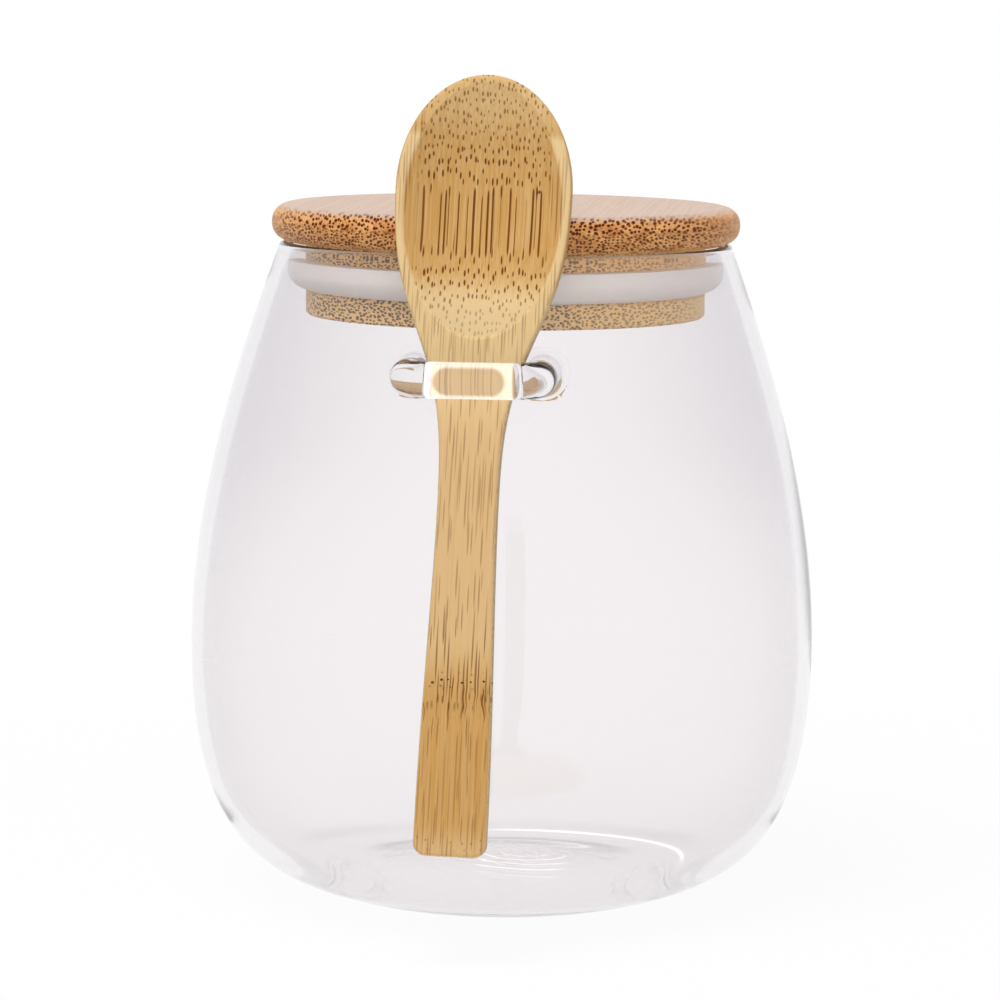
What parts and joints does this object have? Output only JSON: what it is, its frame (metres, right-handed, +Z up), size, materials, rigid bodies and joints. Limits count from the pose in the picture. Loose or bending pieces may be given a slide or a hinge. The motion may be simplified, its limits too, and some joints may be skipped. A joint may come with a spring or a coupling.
{
  "type": "sugar jar",
  "caption": "Rounded clear glass storage jar with a fused glass loop that holds a bamboo spoon, closed by a turned bamboo lid with a silicone seal.",
  "frame": {"origin": "centre of the flat ring that the jar stands on, at table level", "axes": "+Z up along the jar's axis; the spoon loop and the spoon are on the -Y side"},
  "size_m": [0.11, 0.1202, 0.146],
  "materials": {
    "clear_glass": "clear blown glass",
    "lid_bamboo": "satin bamboo, end grain at the edge",
    "silicone": "translucent silicone",
    "spoon_bamboo": "satin bamboo with long fibres"
  },
  "bodies": {
    "root": {"glass_jar": "clear_glass", "bamboo_lid": "lid_bamboo", "seal_ring": "silicone", "bamboo_spoon": "spoon_bamboo"}
  },
  "joints": []
}
